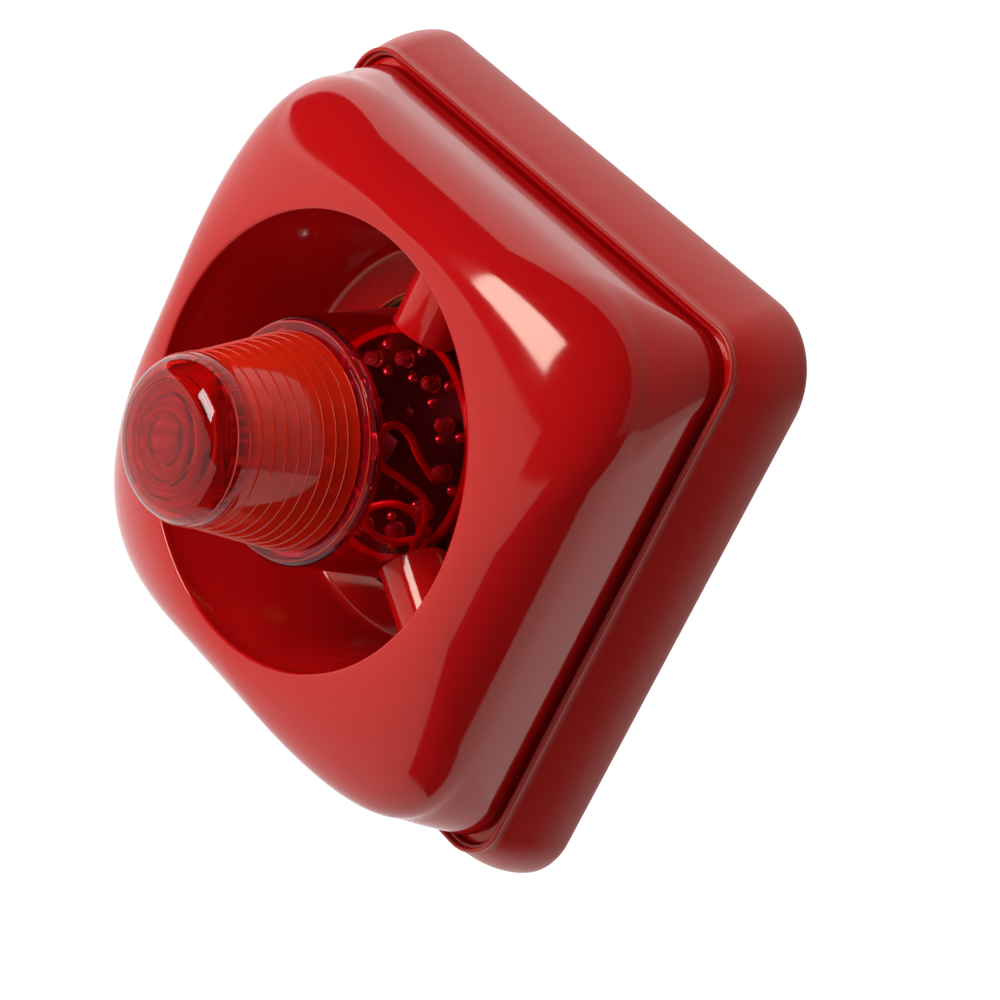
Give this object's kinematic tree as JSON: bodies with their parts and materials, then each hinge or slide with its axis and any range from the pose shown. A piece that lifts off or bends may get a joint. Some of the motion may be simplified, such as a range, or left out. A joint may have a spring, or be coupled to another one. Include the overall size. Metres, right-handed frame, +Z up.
{
  "type": "alarm siren",
  "caption": "Square wall-mounted alarm siren: flared back box, glossy cap with a round horn, and a ribbed signal lamp on struts in its mouth.",
  "frame": {"origin": "centre of the back box's flat wall face", "axes": "+Y into the wall, along the horn's axis; +Z up; +X to the right for someone facing the horn"},
  "size_m": [0.134, 0.0846, 0.134],
  "materials": {
    "satin_red_abs": "satin moulded",
    "gloss_red_abs": "polished mould",
    "clear_red_polycarbonate": "clear, tinted red",
    "dark_rubber": "matt",
    "green_board": "solder mask over glass cloth",
    "black_board": "black solder mask",
    "green_polyamide": "moulded",
    "blue_polyester": "moulded",
    "black_sleeve": "shrunk sleeve",
    "copper_winding": "enamelled wire",
    "black_polymer": "moulded",
    "brass": "rolled",
    "piezo_ceramic": "fired, silvered",
    "white_polyamide": "moulded",
    "red_lead_jacket": "extruded",
    "clear_lamp_epoxy": "cast, clear",
    "zinc_steel": "zinc plated"
  },
  "bodies": {
    "base": {"back_box": "satin_red_abs", "box_gasket": "dark_rubber", "cable_grommet": "dark_rubber", "main_board": "green_board", "board_screw_1": "zinc_steel", "board_screw_2": "zinc_steel", "board_screw_3": "zinc_steel", "board_screw_4": "zinc_steel", "terminal_block": "green_polyamide", "tone_switch": "blue_polyester", "volume_trimmer": "blue_polyester", "capacitor": "black_sleeve", "step_up_coil": "copper_winding", "driver_chip": "black_polymer", "board_header": "black_polymer"},
    "head": {"front_cap": "gloss_red_abs", "beacon_tube": "clear_red_polycarbonate", "beacon_lens": "clear_red_polycarbonate", "lens_seal": "dark_rubber", "beacon_bulkhead": "black_polymer", "led_board": "black_board", "led_01": "clear_lamp_epoxy", "led_02": "clear_lamp_epoxy", "led_03": "clear_lamp_epoxy", "led_04": "clear_lamp_epoxy", "led_05": "clear_lamp_epoxy", "led_06": "clear_lamp_epoxy", "led_07": "clear_lamp_epoxy", "led_08": "clear_lamp_epoxy", "led_09": "clear_lamp_epoxy", "led_10": "clear_lamp_epoxy", "led_11": "clear_lamp_epoxy", "led_12": "clear_lamp_epoxy", "lead_supply": "red_lead_jacket", "lead_return": "red_lead_jacket", "sounder_chamber": "black_polymer", "piezo_plate": "brass", "piezo_ceramic": "piezo_ceramic", "head_plug": "white_polyamide"},
    "terminal_screw_1": {"terminal_screw_1": "zinc_steel"},
    "terminal_screw_2": {"terminal_screw_2": "zinc_steel"},
    "terminal_screw_3": {"terminal_screw_3": "zinc_steel"},
    "terminal_screw_4": {"terminal_screw_4": "zinc_steel"},
    "tone_lever_1": {"tone_lever_1": "white_polyamide"},
    "tone_lever_2": {"tone_lever_2": "white_polyamide"},
    "tone_lever_3": {"tone_lever_3": "white_polyamide"},
    "tone_lever_4": {"tone_lever_4": "white_polyamide"},
    "volume_rotor": {"volume_rotor": "brass"},
    "cover_screw_1": {"cover_screw_1": "zinc_steel"},
    "cover_screw_2": {"cover_screw_2": "zinc_steel"}
  },
  "joints": [
    {"name": "head_release", "type": "slide", "parent": "base", "child": "head", "axis": [0, -1, 0], "range_m": [0, 0.06]},
    {"name": "terminal_screw_turn_1", "type": "hinge", "parent": "base", "child": "terminal_screw_1", "pos_m": [0.0285, -0.0145, -0.0407], "axis": [0, -1, 0], "continuous": true},
    {"name": "terminal_screw_turn_2", "type": "hinge", "parent": "base", "child": "terminal_screw_2", "pos_m": [0.0335, -0.0145, -0.0407], "axis": [0, -1, 0], "continuous": true},
    {"name": "terminal_screw_turn_3", "type": "hinge", "parent": "base", "child": "terminal_screw_3", "pos_m": [0.0385, -0.0145, -0.0407], "axis": [0, -1, 0], "continuous": true},
    {"name": "terminal_screw_turn_4", "type": "hinge", "parent": "base", "child": "terminal_screw_4", "pos_m": [0.0435, -0.0145, -0.0407], "axis": [0, -1, 0], "continuous": true},
    {"name": "tone_lever_slide_1", "type": "slide", "parent": "base", "child": "tone_lever_1", "axis": [0, 0, 1], "range_m": [0, 0.0018]},
    {"name": "tone_lever_slide_2", "type": "slide", "parent": "base", "child": "tone_lever_2", "axis": [0, 0, 1], "range_m": [0, 0.0018]},
    {"name": "tone_lever_slide_3", "type": "slide", "parent": "base", "child": "tone_lever_3", "axis": [0, 0, 1], "range_m": [0, 0.0018]},
    {"name": "tone_lever_slide_4", "type": "slide", "parent": "base", "child": "tone_lever_4", "axis": [0, 0, 1], "range_m": [0, 0.0018]},
    {"name": "volume_turn", "type": "hinge", "parent": "base", "child": "volume_rotor", "pos_m": [-0.024, -0.0105, 0.046], "axis": [0, -1, 0], "range_deg": [-135, 135]},
    {"name": "cover_screw_turn_1", "type": "hinge", "parent": "head", "child": "cover_screw_1", "pos_m": [0.03644, -0.0144, 0.00643], "axis": [0, -1, 0], "continuous": true},
    {"name": "cover_screw_turn_2", "type": "hinge", "parent": "head", "child": "cover_screw_2", "pos_m": [-0.03644, -0.0144, -0.00643], "axis": [0, -1, 0], "continuous": true}
  ]
}
